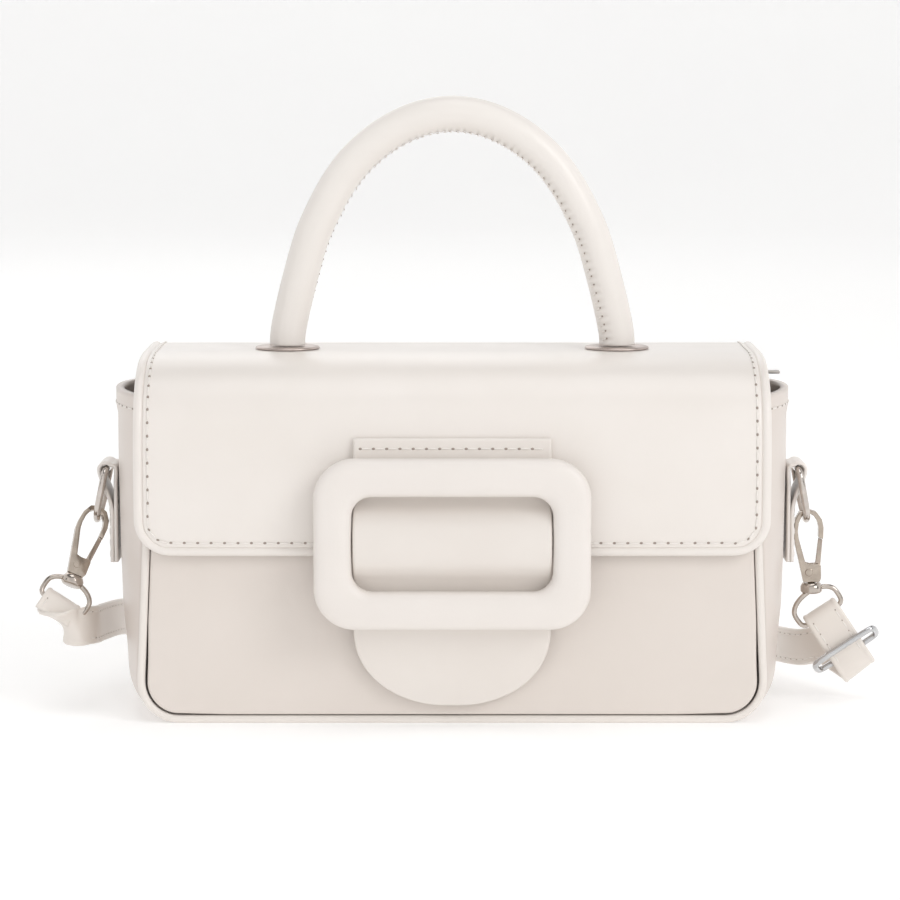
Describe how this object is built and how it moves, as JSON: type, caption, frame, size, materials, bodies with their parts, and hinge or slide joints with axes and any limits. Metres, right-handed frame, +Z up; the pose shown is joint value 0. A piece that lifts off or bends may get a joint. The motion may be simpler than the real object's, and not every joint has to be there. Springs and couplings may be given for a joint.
{
  "type": "box bag",
  "caption": "Small structured leather box bag with a front flap, round top handle, large covered buckle, side D-rings and a narrow hook-on shoulder strap",
  "frame": {"origin": "on the floor under the middle of the base", "axes": "X runs across the bag, the front faces -Y, Z is up"},
  "size_m": [0.268, 0.5067, 0.1934],
  "materials": {
    "leather": "smooth semi-gloss off-white coated leather with a very fine grain",
    "covered_frame": "satin off-white skin over a rigid frame, edges fully rounded",
    "zip_tape": "woven off-white zip tape",
    "nickel": "warm polished nickel plate",
    "washer_nickel": "thin dull nickel",
    "chrome": "bright plated wire"
  },
  "bodies": {
    "bag": {"front_panel": "leather", "gusset": "leather", "back_panel_flap": "leather", "flap_edge_roll": "leather", "front_piping": "leather", "back_piping": "leather", "top_facing_front": "leather", "top_facing_back": "leather", "zip_tape": "zip_tape", "zip_teeth": "nickel", "zip_slider": "nickel", "handle": "leather", "handle_washer_left": "washer_nickel", "handle_washer_right": "washer_nickel", "buckle_frame": "covered_frame", "buckle_tab": "leather", "side_tab_left": "leather", "side_tab_right": "leather", "d_ring_left": "nickel", "d_ring_right": "nickel", "clasp_swivel_left": "nickel", "clasp_swivel_right": "nickel", "shoulder_strap": "leather", "strap_slider": "chrome"},
    "hook_left": {"clasp_hook_left": "nickel"},
    "hook_right": {"clasp_hook_right": "nickel"},
    "lever_left": {"clasp_lever_left": "nickel"},
    "lever_right": {"clasp_lever_right": "nickel"}
  },
  "joints": [
    {"name": "clasp_swivel_left", "type": "hinge", "parent": "bag", "child": "hook_left", "pos_m": [-0.12061, -0.01248, 0.03933], "axis": [0.3274, 0.4067, 0.8529], "range_deg": [-18, 7]},
    {"name": "clasp_swivel_right", "type": "hinge", "parent": "bag", "child": "hook_right", "pos_m": [0.115, 0, 0.03496], "axis": [-0.0262, 0, 0.9997], "range_deg": [-13, 13]},
    {"name": "clasp_lever_left", "type": "hinge", "parent": "hook_left", "child": "lever_left", "pos_m": [-0.11912, -0.00978, 0.04556], "axis": [0.2743, -0.9047, 0.3262], "range_deg": [0, 24], "stiffness_Nm_per_rad": 0.002},
    {"name": "clasp_lever_right", "type": "hinge", "parent": "hook_right", "child": "lever_right", "pos_m": [0.11397, 0, 0.04183], "axis": [0, -1, 0], "range_deg": [0, 24], "stiffness_Nm_per_rad": 0.002}
  ]
}
